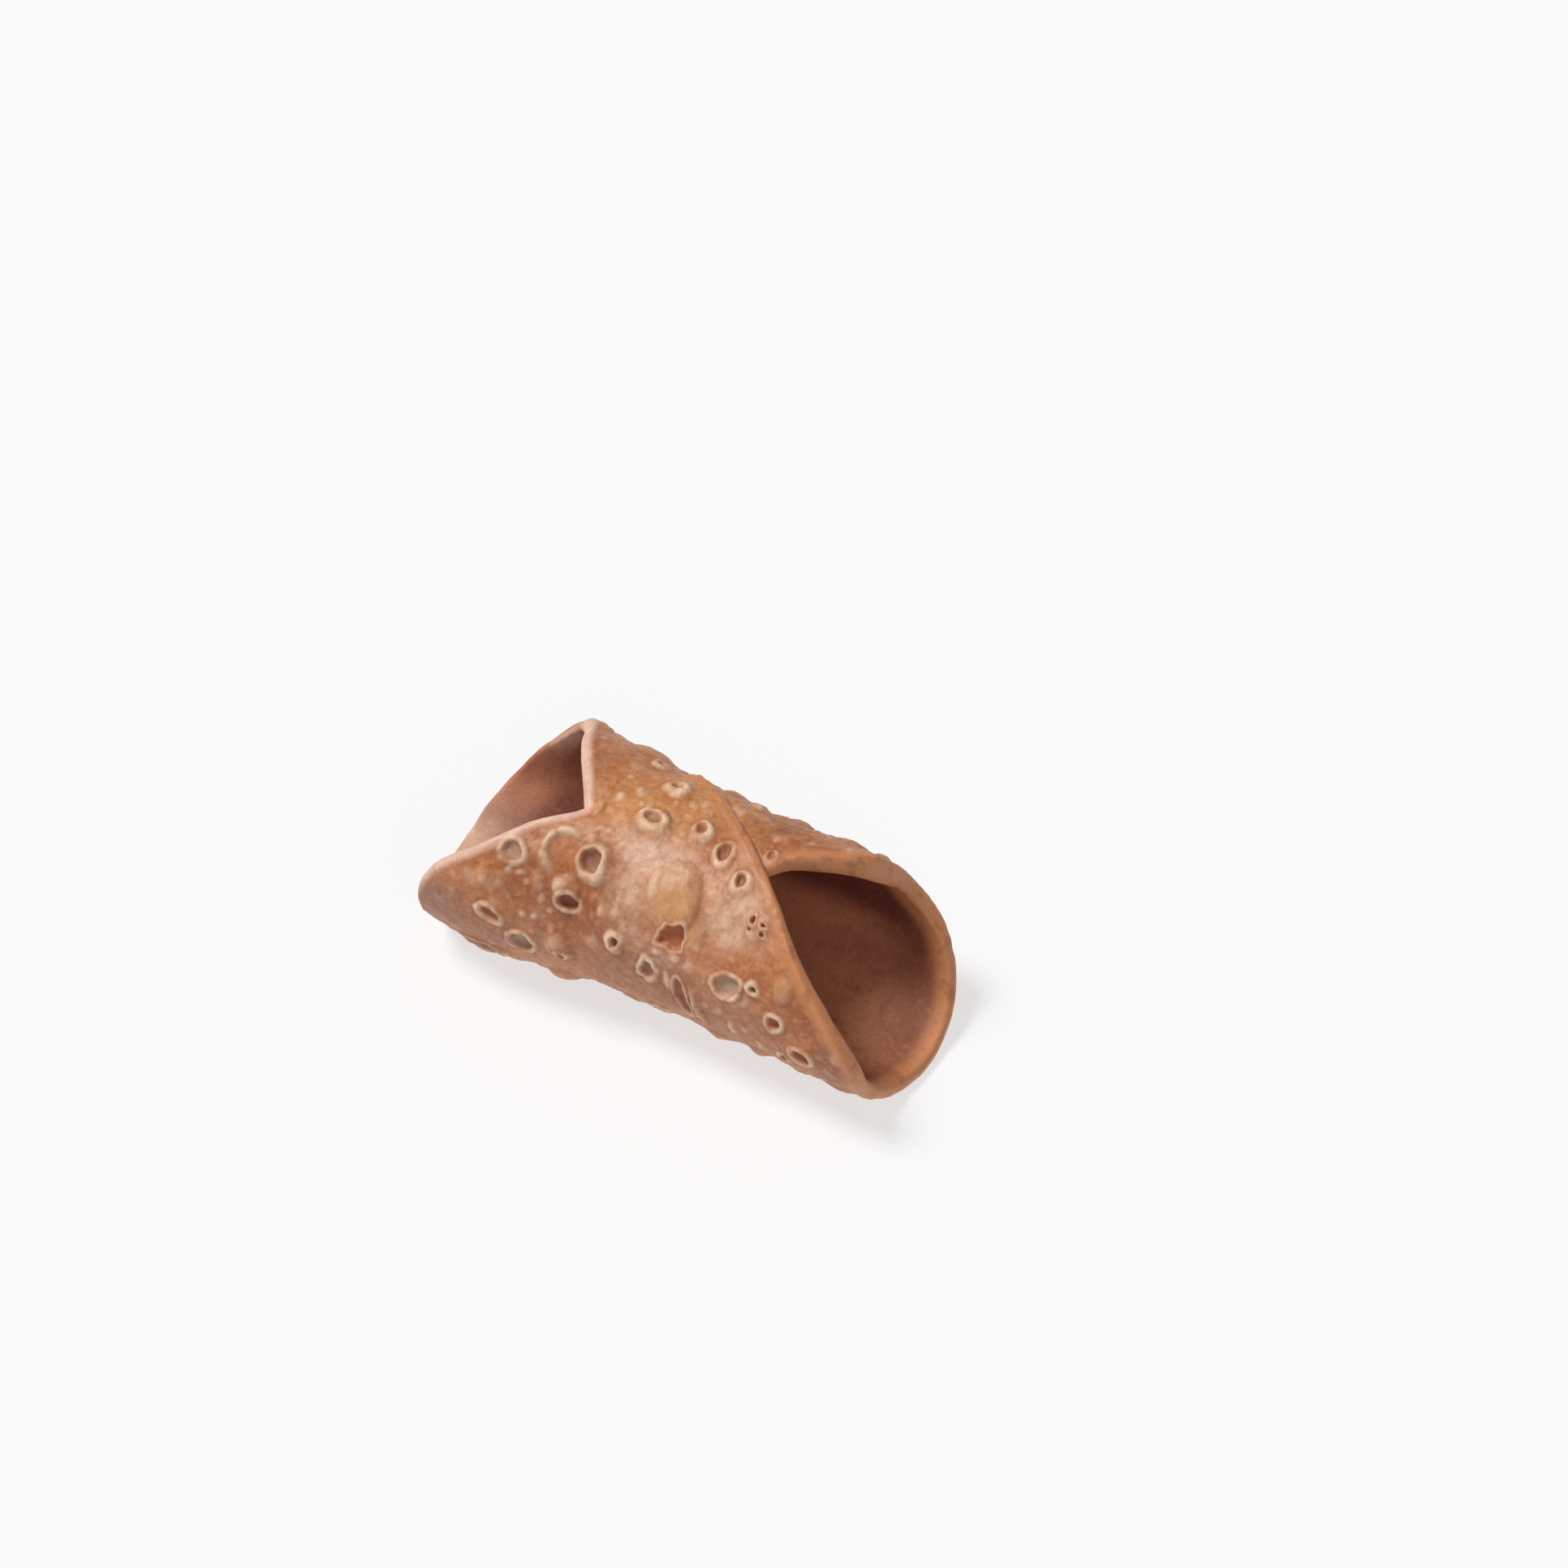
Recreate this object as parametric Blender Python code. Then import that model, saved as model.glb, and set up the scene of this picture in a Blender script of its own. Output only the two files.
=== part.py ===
# Empty cannoli shell: one sheet of dough wrapped round a tube and fried.
# The sheet starts inside the tube, runs down the far side, along the bottom and up the
# near side, and closes over its own start with a rounded flap.
# Frame: +X along the tube, towards the less pointed end; +Z up; origin under the middle,
# on the surface the shell rests on. Angles go round the tube: 0 is the near side (-Y),
# 90 the top, -90 the bottom, and -180 the far side (+Y).
import math
import bmesh
import bpy

mm = 0.001

# driving dimensions
tubeRadius = 20.5 * mm        # outer skin, away from the flare and the lap
wallThick = 2.3 * mm          # dough at the open rims
lapThick = 1.6 * mm           # each layer where two lie on each other
lapGap = 0.3 * mm             # air between the two layers
flapRise = 0.6 * mm           # how far the outer flap stands above the tube
flatDepth = 0.25 * mm         # bottom pressed flat by this much
rimRound = 0.55 * mm          # rounding along every edge of the sheet
rimSegments = 2
flapBulge = 4.0               # degrees that the flap's end bows out between its corners
stepsAround = 90
stepsAlong = 16
middleX = 1.05 * mm           # brings the middle of the length to x = 0
middleY = 0.0 * mm

# where the sheet starts and ends, and where its layers lie on each other, in degrees
innerEnd = -322.0
outerEnd = 137.0
lapStartOuter = (20.0, 75.0)      # the outer flap rises between these
lapStartInner = (-212.0, -246.0)  # the inner layer sinks between these
lapThinOuter = (35.0, 80.0)       # and the two layers thin between these
lapThinInner = (-215.0, -250.0)

# edges of the sheet: (angle round the tube in degrees, place along it in mm)
rightEdge = [(-322, 2.0), (-305, 8.5), (-278, 18.4), (-265, 21.5), (-254, 26.4),
             (-243, 31.0), (-220, 34.8), (-199, 36.6), (-185, 39.5), (-169, 43.4),
             (-141, 47.6), (-115, 49.7), (-88, 49.6), (-70, 48.6), (-50, 47.6),
             (-30, 47.2), (-8, 46.4), (6, 44.2), (21, 39.8), (38, 34.0), (54, 28.5),
             (69, 23.6), (82, 18.4), (101, 9.8), (120, 1.6), (137, -6.5)]
leftEdge = [(-322, -4.0), (-310, -9.0), (-287, -17.7), (-270, -21.5), (-251, -26.0),
            (-218, -32.3), (-188, -39.5), (-170, -44.2), (-151, -48.1), (-133, -50.7),
            (-105, -52.0), (-80, -51.4), (-60, -49.2), (-42, -47.0), (-22, -45.8),
            (-9, -44.8), (2, -44.0), (13, -42.3), (24, -39.3), (41, -31.8),
            (59, -24.7), (73, -18.2), (90, -16.6), (110, -15.0), (137, -10.5)]

# the left end opens out: (place along the tube in mm, extra radius in mm)
flare = [(-53, 0.2), (-48, 1.2), (-42, 2.2), (-36, 2.9), (-30, 2.8), (-24, 2.2),
         (-18, 1.6), (-12, 0.7), (-5, 0.0), (60, 0.0)]

flareFree = 4.0       # degrees from the bottom that stay straight
flareFull = 62.0      # degrees from the bottom where the whole flare is reached


def ease(low, high, value):
    # 0 at low, 1 at high, with soft ends; low may be the larger one
    t = min(max((value - low) / (high - low), 0.0), 1.0)
    return t * t * (3.0 - 2.0 * t)


def onCurve(points, at):
    # smooth curve through the points, in order of their first number
    at = min(max(at, points[0][0]), points[-1][0])
    steps = [(b[0] - a[0], (b[1] - a[1]) / (b[0] - a[0])) for a, b in zip(points, points[1:])]
    i = next((k for k, point in enumerate(points[1:]) if at <= point[0]), len(steps) - 1)

    def slope(k):
        if k == 0:
            return steps[0][1]
        if k == len(points) - 1:
            return steps[-1][1]
        (widthA, riseA), (widthB, riseB) = steps[k - 1], steps[k]
        return (riseA * widthB + riseB * widthA) / (widthA + widthB)

    width = steps[i][0]
    t = (at - points[i][0]) / width
    return ((2 * t**3 - 3 * t**2 + 1) * points[i][1] + (t**3 - 2 * t**2 + t) * width * slope(i)
            + (3 * t**2 - 2 * t**3) * points[i + 1][1] + (t**3 - t**2) * width * slope(i + 1))


def flareAt(angle, along):
    # nothing at the bottom, so the shell lies level; half of it at the top
    turned = (angle + 180.0) % 360.0 - 180.0
    fromBottom = min(abs(turned + 90.0), 360.0 - abs(turned + 90.0))
    top = 1.0 - 0.5 * math.exp(-((turned - 80.0) / 35.0) ** 2)
    return onCurve(flare, along) * mm * ease(flareFree, flareFull, fromBottom) * top


def sheetPoint(u, v):
    # u runs round the tube from the inner end to the flap, v from the left edge to the right
    bow = flapBulge * (1.0 - (2.0 * v - 1.0) ** 2)
    angle = innerEnd - bow + (outerEnd - innerEnd + 2.0 * bow) * u
    left = onCurve(leftEdge, angle)
    right = onCurve(rightEdge, angle)
    along = left + (right - left) * v
    radius = tubeRadius + flareAt(angle, along) + flapRise * ease(*lapStartOuter, angle)
    sunk = lapGap + lapThick - flapRise
    radius -= sunk * ease(*lapStartInner, angle)
    turn = math.radians(angle)
    z = tubeRadius - flatDepth + radius * math.sin(turn)
    return (along * mm + middleX, middleY - radius * math.cos(turn), max(z, 0.0))


def layerThickness(u):
    angle = innerEnd + (outerEnd - innerEnd) * u
    thin = max(ease(*lapThinOuter, angle), ease(*lapThinInner, angle))
    return wallThick + (lapThick - wallThick) * thin


def crustMaterial():
    mat = bpy.data.materials.new("crust")
    mat.use_nodes = True
    skin = mat.node_tree.nodes["Principled BSDF"]
    skin.inputs["Base Color"].default_value = (0.46, 0.19, 0.08, 1.0)
    skin.inputs["Roughness"].default_value = 0.55
    skin.inputs["Metallic"].default_value = 0.0
    return mat


def buildShell():
    bm = bmesh.new()
    bmesh.ops.create_grid(bm, x_segments=stepsAround, y_segments=stepsAlong, size=0.5)
    thinning = []
    for vert in bm.verts:
        u, v = vert.co.x + 0.5, vert.co.y + 0.5
        thinning.append(layerThickness(u) / wallThick)
        vert.co = sheetPoint(u, v)
    bm.normal_update()
    outward = sum(face.normal.y * face.calc_center_median().y for face in bm.faces)
    if outward < 0.0:
        bmesh.ops.reverse_faces(bm, faces=bm.faces)
    mesh = bpy.data.meshes.new("shell")
    bm.to_mesh(mesh)
    bm.free()
    shell = bpy.data.objects.new("shell", mesh)
    bpy.context.collection.objects.link(shell)
    mesh.materials.append(crustMaterial())

    group = shell.vertex_groups.new(name="thickness")
    for index, share in enumerate(thinning):
        group.add([index], share, "REPLACE")
    wall = shell.modifiers.new("wall", "SOLIDIFY")
    wall.thickness = wallThick
    wall.offset = -1.0
    wall.vertex_group = group.name
    wall.use_quality_normals = True
    rim = shell.modifiers.new("rim", "BEVEL")
    rim.width = rimRound
    rim.segments = rimSegments
    rim.limit_method = "ANGLE"
    rim.angle_limit = math.radians(50.0)
    mesh.shade_smooth()
    return shell


for old in list(bpy.data.objects):
    bpy.data.objects.remove(old)
buildShell()
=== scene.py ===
import math
import random

import bmesh
import bpy
import numpy as np
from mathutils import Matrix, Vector, noise


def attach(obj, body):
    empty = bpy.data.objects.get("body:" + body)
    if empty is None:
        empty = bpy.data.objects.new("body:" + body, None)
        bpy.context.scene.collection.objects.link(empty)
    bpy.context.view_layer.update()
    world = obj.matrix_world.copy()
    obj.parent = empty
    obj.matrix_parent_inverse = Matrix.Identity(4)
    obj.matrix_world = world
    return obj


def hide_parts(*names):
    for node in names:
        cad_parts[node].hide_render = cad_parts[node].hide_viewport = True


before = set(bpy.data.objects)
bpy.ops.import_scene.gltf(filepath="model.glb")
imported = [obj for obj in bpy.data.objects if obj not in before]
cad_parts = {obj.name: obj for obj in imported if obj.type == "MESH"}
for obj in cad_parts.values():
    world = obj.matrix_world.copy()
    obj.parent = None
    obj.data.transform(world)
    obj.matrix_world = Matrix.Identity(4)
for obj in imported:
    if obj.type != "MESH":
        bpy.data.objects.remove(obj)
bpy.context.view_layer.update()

mm = 0.001
print("frame loaded")

# The shell is one sheet of dough rolled round a tube. Places on it are given by the angle
# round the tube in degrees (0 near side, 90 top, -90 bottom, -180 far side; it goes on past
# -180 where the sheet lies under its own flap) and by millimetres along the tube.
sheet = {
    "radius": 20.5,
    "wall": 2.3,
    "lapWall": 1.9,
    "lapGap": 0.06,
    "rise": 0.95,              # outer flap above the tube
    "innerStep": 0.45,         # inner layer into the tube
    "flat": 0.25,              # pressed flat underneath
    "start": -322.0,
    "end": 137.0,
    "bow": 4.0,                # how far both ends of the sheet bulge, in degrees
    "middle": 1.05,            # where along the tube the lengths are counted from
    "cutSlant": 0.9,           # how far the outer skin stops short at the left end
    "lip": 1.1,                # extra thickness of the right rim
    "lipWidth": 3.6,
    "bead": 0.65,              # swelling along the flap's right edge
    "beadWidth": 1.4,
    "rimRow": 2.6,             # width of the outermost row of cells
    "rimShare": 46.0,          # how much of it is rounded over, in percent
    "rimSteps": 6,
    "cellsAround": 104,
    "cellsAlong": 56,
    "flareFree": 4.0,          # degrees from the bottom where the flare sets in
    "flareFull": 62.0,
    "right": [(-322, 2.0), (-305, 8.5), (-278, 18.4), (-265, 21.5), (-254, 26.4),
              (-243, 31.0), (-220, 34.8), (-199, 36.9), (-185, 40.0), (-169, 43.9),
              (-141, 48.3), (-115, 50.3), (-88, 50.3), (-70, 49.3), (-50, 48.1),
              (-30, 47.2), (-8, 46.4), (6, 44.2), (21, 39.8), (38, 34.0), (54, 28.5),
              (69, 23.6), (82, 18.4), (101, 9.8), (120, 1.6), (137, -6.5)],
    "left": [(-322, -4.0), (-310, -9.0), (-287, -17.7), (-270, -21.5), (-251, -26.0),
             (-218, -31.7), (-188, -39.3), (-170, -44.1), (-151, -47.9), (-133, -50.5),
             (-105, -52.0), (-80, -51.2), (-60, -49.0), (-42, -46.7), (-22, -45.8),
             (-9, -44.8), (2, -44.0), (13, -42.3), (24, -39.3), (41, -31.8),
             (59, -24.7), (73, -18.2), (90, -16.6), (110, -15.0), (137, -10.5)],
    "flare": [(-53, -0.3), (-48, 0.6), (-42, 1.6), (-36, 2.5), (-30, 2.6), (-24, 1.9),
              (-18, 1.3), (-12, 0.5), (-5, 0.3), (60, 0.35)],
}


def ease(low, high, value):
    # smooth step from 0 at low to 1 at high, which may lie either way round
    share = np.clip((value - low) / (high - low), 0.0, 1.0)
    return share * share * (3.0 - 2.0 * share)


def bell(middle, width, value):
    # 1 at the middle, fading out on both sides
    return np.exp(-((value - middle) / width) ** 2)


def onCurve(points, at):
    # smooth curve through the points, in order of their first number
    spots = np.array([point[0] for point in points], float)
    heights = np.array([point[1] for point in points], float)
    width = np.diff(spots)
    rise = np.diff(heights) / width
    slope = np.empty(len(spots))
    slope[0], slope[-1] = rise[0], rise[-1]
    slope[1:-1] = (rise[:-1] * width[1:] + rise[1:] * width[:-1]) / (width[:-1] + width[1:])
    at = np.clip(at, spots[0], spots[-1])
    span = np.clip(np.searchsorted(spots, at) - 1, 0, len(width) - 1)
    part = (at - spots[span]) / width[span]
    square = part**2
    cube = part**3
    return ((2 * cube - 3 * square + 1) * heights[span]
            + (cube - 2 * square + part) * width[span] * slope[span]
            + (3 * square - 2 * cube) * heights[span + 1]
            + (cube - square) * width[span] * slope[span + 1])


def fromEdge(name, angle, along):
    # millimetres in from the left or right edge of the sheet, square to that edge
    arc = 2.0 * math.radians(sheet["radius"])
    edge = onCurve(sheet[name], angle)
    slope = (onCurve(sheet[name], angle + 1.0) - onCurve(sheet[name], angle - 1.0)) / arc
    side = 1.0 if name == "left" else -1.0
    return side * (along - edge) / np.sqrt(1.0 + slope**2)


def tubeRadiusAt(angle, along):
    turned = (angle + 180.0) % 360.0 - 180.0
    fromBottom = np.minimum(np.abs(turned + 90.0), 360.0 - np.abs(turned + 90.0))
    top = 1.0 - 0.5 * bell(80.0, 35.0, turned)
    opened = onCurve(sheet["flare"], along) * top
    return sheet["radius"] + opened * ease(sheet["flareFree"], sheet["flareFull"], fromBottom)


def coveredAt(angle, along):
    # 1 where the flap hides the layer below
    over = angle + 360.0
    fromLeft = along - onCurve(sheet["left"], over)
    fromRight = onCurve(sheet["right"], over) - along
    within = ease(1.6, 3.2, fromLeft) * ease(0.3, 2.1, fromRight)
    return within * ease(sheet["end"] - 1.0, sheet["end"] - 7.0, over) * (angle < -180.0)


def deepUnder(angle, along):
    # well under the flap, where no blisters or fine cells are needed
    over = angle + 360.0
    fromLeft = along - onCurve(sheet["left"], over)
    fromRight = onCurve(sheet["right"], over) - along
    return (fromLeft > 4.6) & (fromRight > 2.8) & (over < sheet["end"] - 12.0) & (angle < -180.0)


def flapRadiusAt(angle, along):
    # the outer skin without its blisters; the flap's left edge melts into the dough below
    radius = tubeRadiusAt(angle, along)
    fromLeft = along - onCurve(sheet["left"], angle)
    lapped = ease(62.0, 78.0, angle)
    raised = sheet["rise"] * ease(20.0, 75.0, angle)
    tongue = ease(sheet["end"] + 3.0, sheet["end"] - 7.0, angle)
    melted = raised * ease(1.2, 13.0, fromLeft) * tongue
    melted = melted - 0.16 * np.maximum(ease(1.9, 0.0, fromLeft), ease(0.35, 0.0, tongue))
    radius = radius + raised + (melted - raised) * lapped
    beside = bell(0.0, 1.5, onCurve(sheet["right"], angle + 360.0) - along) * (angle < -190.0)
    dip = 0.3 * beside * ease(sheet["end"] + 2.0, sheet["end"] - 8.0, angle + 360.0)
    sunk = sheet["lapWall"] + sheet["lapGap"] - sheet["rise"]
    covered = coveredAt(angle, along)
    return radius - sunk * covered - dip * (1.0 - covered)


def outerRadiusAt(angle, along):
    fromRight = fromEdge("right", angle, along)
    bead = bell(0.9 * sheet["beadWidth"], sheet["beadWidth"], fromRight)
    bead = bead * ease(40.0, 68.0, angle) * ease(137.0, 126.0, angle)
    over = np.minimum(angle + 360.0, sheet["end"])
    beyond = -fromEdge("right", over, along)
    fold = 0.35 * bell(3.0, 0.9, beyond) * (angle < -180.0) * ease(132.0, 116.0, over)
    return flapRadiusAt(angle, along) + sheet["bead"] * bead + fold


def innerRadiusAt(angle, along):
    single = tubeRadiusAt(angle, along) - sheet["wall"]
    lower = single - sheet["innerStep"] * ease(-212.0, -250.0, angle)
    flap = flapRadiusAt(angle, along) - sheet["lapWall"]
    lip = sheet["lip"] * bell(0.0, sheet["lipWidth"], fromEdge("right", angle, along))
    lip = lip * ease(-300.0, -225.0, angle) * ease(90.0, 50.0, angle)
    lip = lip * (1.0 + 1.6 * bell(-221.0, 17.0, angle))
    return lower + (flap - lower) * ease(30.0, 70.0, angle) - lip


def cutSlantAt(angle):
    # the left end is cut on a bevel, most of all where the inner layer shows
    upper = ease(-205.0, -225.0, angle) + ease(10.0, 30.0, angle) * 0.35
    return sheet["cutSlant"] * upper * ease(78.0, 70.0, angle)


def place(angle, along, radius):
    turn = np.radians(angle)
    x = along + sheet["middle"]
    y = -radius * np.cos(turn)
    z = sheet["radius"] - sheet["flat"] + radius * np.sin(turn)
    return np.stack([x, y, np.maximum(z, 0.0)], -1) * mm


# Bulges in the dough: angle, along, half length along the tube, half length round it,
# turn in degrees, height, and how yellow the thin skin looks.
domes = [
    (51.0, -10.9, 4.4, 4.3, 0, 1.15, 0.5),
    (31.5, -14.4, 3.1, 3.7, 0, 1.35, 0.5),
    (81.6, -4.6, 3.3, 3.2, 0, 0.35, 0.5),
    (80.2, 10.4, 2.3, 2.9, 10, 0.30, 0.4),
    (70.4, 16.0, 2.5, 3.0, 8, 0.30, 0.4),
    (51.0, 5.2, 5.9, 6.4, 20, 2.00, 0.6),
    (37.0, 9.4, 3.8, 4.6, 0, 0.45, 0.7),
    (17.0, -3.3, 2.2, 3.0, -8, 0.45, 0.4),
    (-5.0, 36.0, 3.6, 4.0, -30, 0.70, 0.4),
    (23.6, 24.9, 1.9, 1.9, 0, 0.45, 0.5),
    (28.4, 30.5, 2.2, 2.9, 5, 0.80, 0.6),
    (-0.4, -14.5, 2.9, 3.9, 8, 1.20, 0.5),
    (53.6, 22.1, 2.8, 2.7, 0, 0.65, 0.4),
    (25.0, -30.5, 1.8, 2.6, 0, 0.60, 0.5),
    (-36.0, -15.8, 2.9, 4.0, 0, 1.10, 0.3),
    (-36.0, -26.2, 2.2, 3.0, 0, 0.35, 0.3),
    (-38.0, -31.5, 3.6, 3.0, 0, 0.55, 0.3),
    (-37.0, -1.5, 3.0, 2.6, 0, 0.45, 0.2),
    (-36.0, 17.3, 3.2, 3.6, 0, 0.85, 0.4),
    (-38.0, 25.0, 2.8, 3.2, 0, 0.70, 0.4),
    (-37.0, 41.0, 3.4, 3.0, 0, 0.50, 0.2),
    (78.4, -15.0, 0.9, 2.2, 0, 0.45, 0.6),
    (143.0, -29.0, 3.6, 3.4, 0, 0.90, 0.1),
    (142.0, -16.2, 4.8, 3.8, 0, 1.15, 0.2),
    (144.0, 1.6, 3.0, 3.8, 0, 0.55, 0.2),
    (144.0, 6.4, 1.8, 2.8, 0, 0.35, 0.2),
    (142.0, 15.5, 2.8, 3.6, 0, 0.50, 0.3),
    (144.0, 25.5, 3.4, 3.6, 0, 0.60, 0.2),
]

# Burst blisters: angle, along, half lengths of the hole along and round, turn, width of the
# raised rim, its height, depth of the hole, how red the bottom is, how ragged the outline.
craters = [
    (42.0, -26.1, 1.90, 1.70, 10, 0.85, 0.45, 0.85, 0.15, 0.05),
    (51.7, -11.4, 2.15, 2.10, 20, 1.10, 0.35, 0.70, 0.30, 0.08),
    (28.2, -13.4, 2.00, 1.60, -15, 0.75, 0.25, 0.85, 0.55, 0.05),
    (82.6, -4.8, 1.75, 1.05, 0, 1.40, 0.85, 0.05, 0.30, 0.04),
    (88.0, 4.2, 1.00, 1.20, 14, 1.15, 0.75, 0.25, 0.50, 0.06),
    (81.2, 10.2, 1.35, 1.80, 10, 0.85, 0.35, 0.60, 0.45, 0.07),
    (71.0, 15.7, 0.95, 1.40, 12, 0.95, 0.45, 0.45, 0.50, 0.07),
    (108.0, -5.2, 1.10, 0.90, 10, 1.35, 0.80, 0.20, 0.35, 0.05),
    (129.0, -12.3, 0.95, 0.85, 0, 1.00, 0.55, 0.30, 0.40, 0.04),
    (31.6, 7.4, 2.70, 2.60, 0, 0.50, 0.22, 1.05, 0.80, 0.11),
    (18.6, 19.7, 2.45, 2.40, 20, 0.70, 0.38, 0.95, 0.05, 0.06),
    (23.4, 24.9, 0.75, 0.70, 0, 0.85, 0.40, 0.35, 0.45, 0.06),
    (8.4, 29.8, 1.40, 1.45, -10, 0.80, 0.45, 0.90, 0.90, 0.05),
    (-6.0, 35.7, 1.95, 1.80, -30, 0.75, 0.35, 0.90, 0.80, 0.06),
    (16.6, -3.3, 0.85, 1.30, -8, 1.00, 0.50, 0.60, 0.50, 0.06),
    (7.8, 3.8, 1.45, 1.80, -5, 0.85, 0.40, 0.55, 0.40, 0.10),
    (-2.0, 11.0, 1.20, 4.70, 17, 0.50, 0.30, 0.85, 0.75, 0.03),
    (6.5, -28.1, 2.05, 1.15, -30, 0.80, 0.40, 0.55, 0.60, 0.08),
    (-6.5, -21.9, 2.15, 2.30, 5, 0.75, 0.45, 0.95, 0.20, 0.06),
    (-5.2, -13.8, 0.80, 0.90, 0, 0.60, 0.25, 0.50, 0.65, 0.05),
    (56.0, 20.9, 0.58, 0.76, 15, 0.40, 0.16, 0.70, 0.95, 0.10),
    (55.4, 23.1, 0.50, 0.40, -20, 0.35, 0.10, 0.25, 0.60, 0.10),
    (51.0, 23.4, 0.42, 0.56, 25, 0.35, 0.12, 0.30, 0.60, 0.10),
    (51.2, 20.9, 0.50, 0.36, 10, 0.32, 0.10, 0.15, 0.60, 0.10),
    (92.0, 17.6, 0.75, 1.05, 20, 0.55, 0.16, 0.35, 0.50, 0.05),
    (-27.0, -31.0, 3.90, 1.70, 0, 0.80, 0.55, 0.70, 0.60, 0.05),
    (-17.0, 31.5, 0.80, 1.20, 0, 0.60, 0.30, 0.55, 0.65, 0.05),
    (-30.0, 4.5, 1.90, 1.50, 15, 0.80, 0.45, 0.70, 0.60, 0.05),
]

# Ridges left by blisters that fell in, as parts of a ring: angle, along, half lengths, turn,
# width, height, the bearing of the arc's middle (0 right, 90 up) and half its spread.
# The welt's cream colour is a painted highlight.
welts = [
    (50.5, -17.1, 3.4, 3.7, 0, 0.80, 0.95, 155, 115),
]

# Small solid bumps, ridges and dents: angle, along, half lengths along and round, turn, height.
bumps = [
    (-5.5, 14.2, 0.80, 5.4, 17, 1.10),
    # a raised cap painted pale as a highlight on the dome beside it
    (35.2, -15.6, 2.0, 1.8, 0, 0.85),
    # a raised crescent painted pale as a highlight on the big dome's upper left
    (53.6, 1.5, 1.6, 3.4, 18, 0.80),
    (6.5, 7.9, 0.90, 2.8, 15, 0.45),
    (20.6, 5.0, 1.1, 1.0, 0, 0.55),
    (21.4, 8.9, 1.3, 1.0, 0, 0.55),
    (7.0, 4.0, 0.5, 1.5, 20, 0.70),
    (6.0, -28.0, 0.4, 1.2, 20, 0.45),
    (88.6, -12.7, 1.4, 1.3, 0, 0.50),
    (97.0, -10.5, 1.1, 1.0, 0, 0.40),
    (97.5, -3.0, 0.8, 0.8, 0, 0.30),
    (30.0, -7.1, 0.8, 1.4, 0, 0.45),
    (24.5, -30.0, 1.0, 1.0, 0, 0.35),
    (14.0, -19.3, 0.9, 0.9, 0, 0.45),
    (13.0, -21.6, 0.9, 0.9, 0, 0.45),
    (25.0, -18.4, 0.8, 1.3, 0, 0.35),
    (33.0, -25.6, 1.0, 0.7, 0, 0.40),
    (33.5, -23.6, 0.9, 0.7, 0, 0.40),
    (30.0, -22.0, 0.7, 0.8, 0, 0.30),
    (20.0, -16.5, 0.8, 0.8, 0, 0.30),
    (-9.0, 21.2, 1.0, 2.4, 10, 0.60),
    (-16.0, 26.8, 0.9, 2.0, 10, 0.55),
    (130.0, 8.0, 1.9, 1.8, 0, 0.70),
    (48.0, 21.9, 1.2, 0.9, 0, 0.35),
    (58.5, 21.3, 0.8, 0.7, 0, 0.30),
    (112.0, 22.0, 0.9, 1.1, 0, 0.30),
    (104.0, 16.5, 0.9, 1.2, 0, 0.30),
    (142.0, -7.0, 3.0, 5.0, 0, -0.55),
    (142.0, -24.3, 1.6, 4.0, 0, -0.25),
    (143.0, -1.4, 2.0, 5.0, 0, -0.25),
    (143.0, 9.4, 2.6, 5.0, 0, -0.60),
    (143.0, 19.2, 2.4, 5.0, 0, -0.40),
    (143.0, 32.4, 3.4, 5.0, 0, -0.45),
    (-38.0, -21.4, 2.0, 4.0, 0, -0.40),
    (-38.0, -10.0, 3.0, 4.0, 0, -0.35),
    (-38.0, 10.2, 3.6, 4.0, 0, -0.45),
    (-38.0, 18.2, 2.0, 4.0, 0, -0.30),
    (-38.0, 28.6, 4.0, 4.0, 0, -0.40),
]

scatter = {
    "seed": 11,
    "far": 70,                 # blisters on the sides that face away
    "farAngles": (-228.0, -42.0),
    "farAlong": (-50.0, 48.0),
    "tries": 6000,
    "fromRim": 1.6,
    "apart": 1.2,
    "perDegree": 0.36,         # millimetres round the tube
    "burst": 0.75,             # share of them that have burst
    "pimples": 240,            # specks everywhere
    "pimpleAngles": (-250.0, 132.0),
    "pimpleAlong": (-50.0, 49.0),
}

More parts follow.
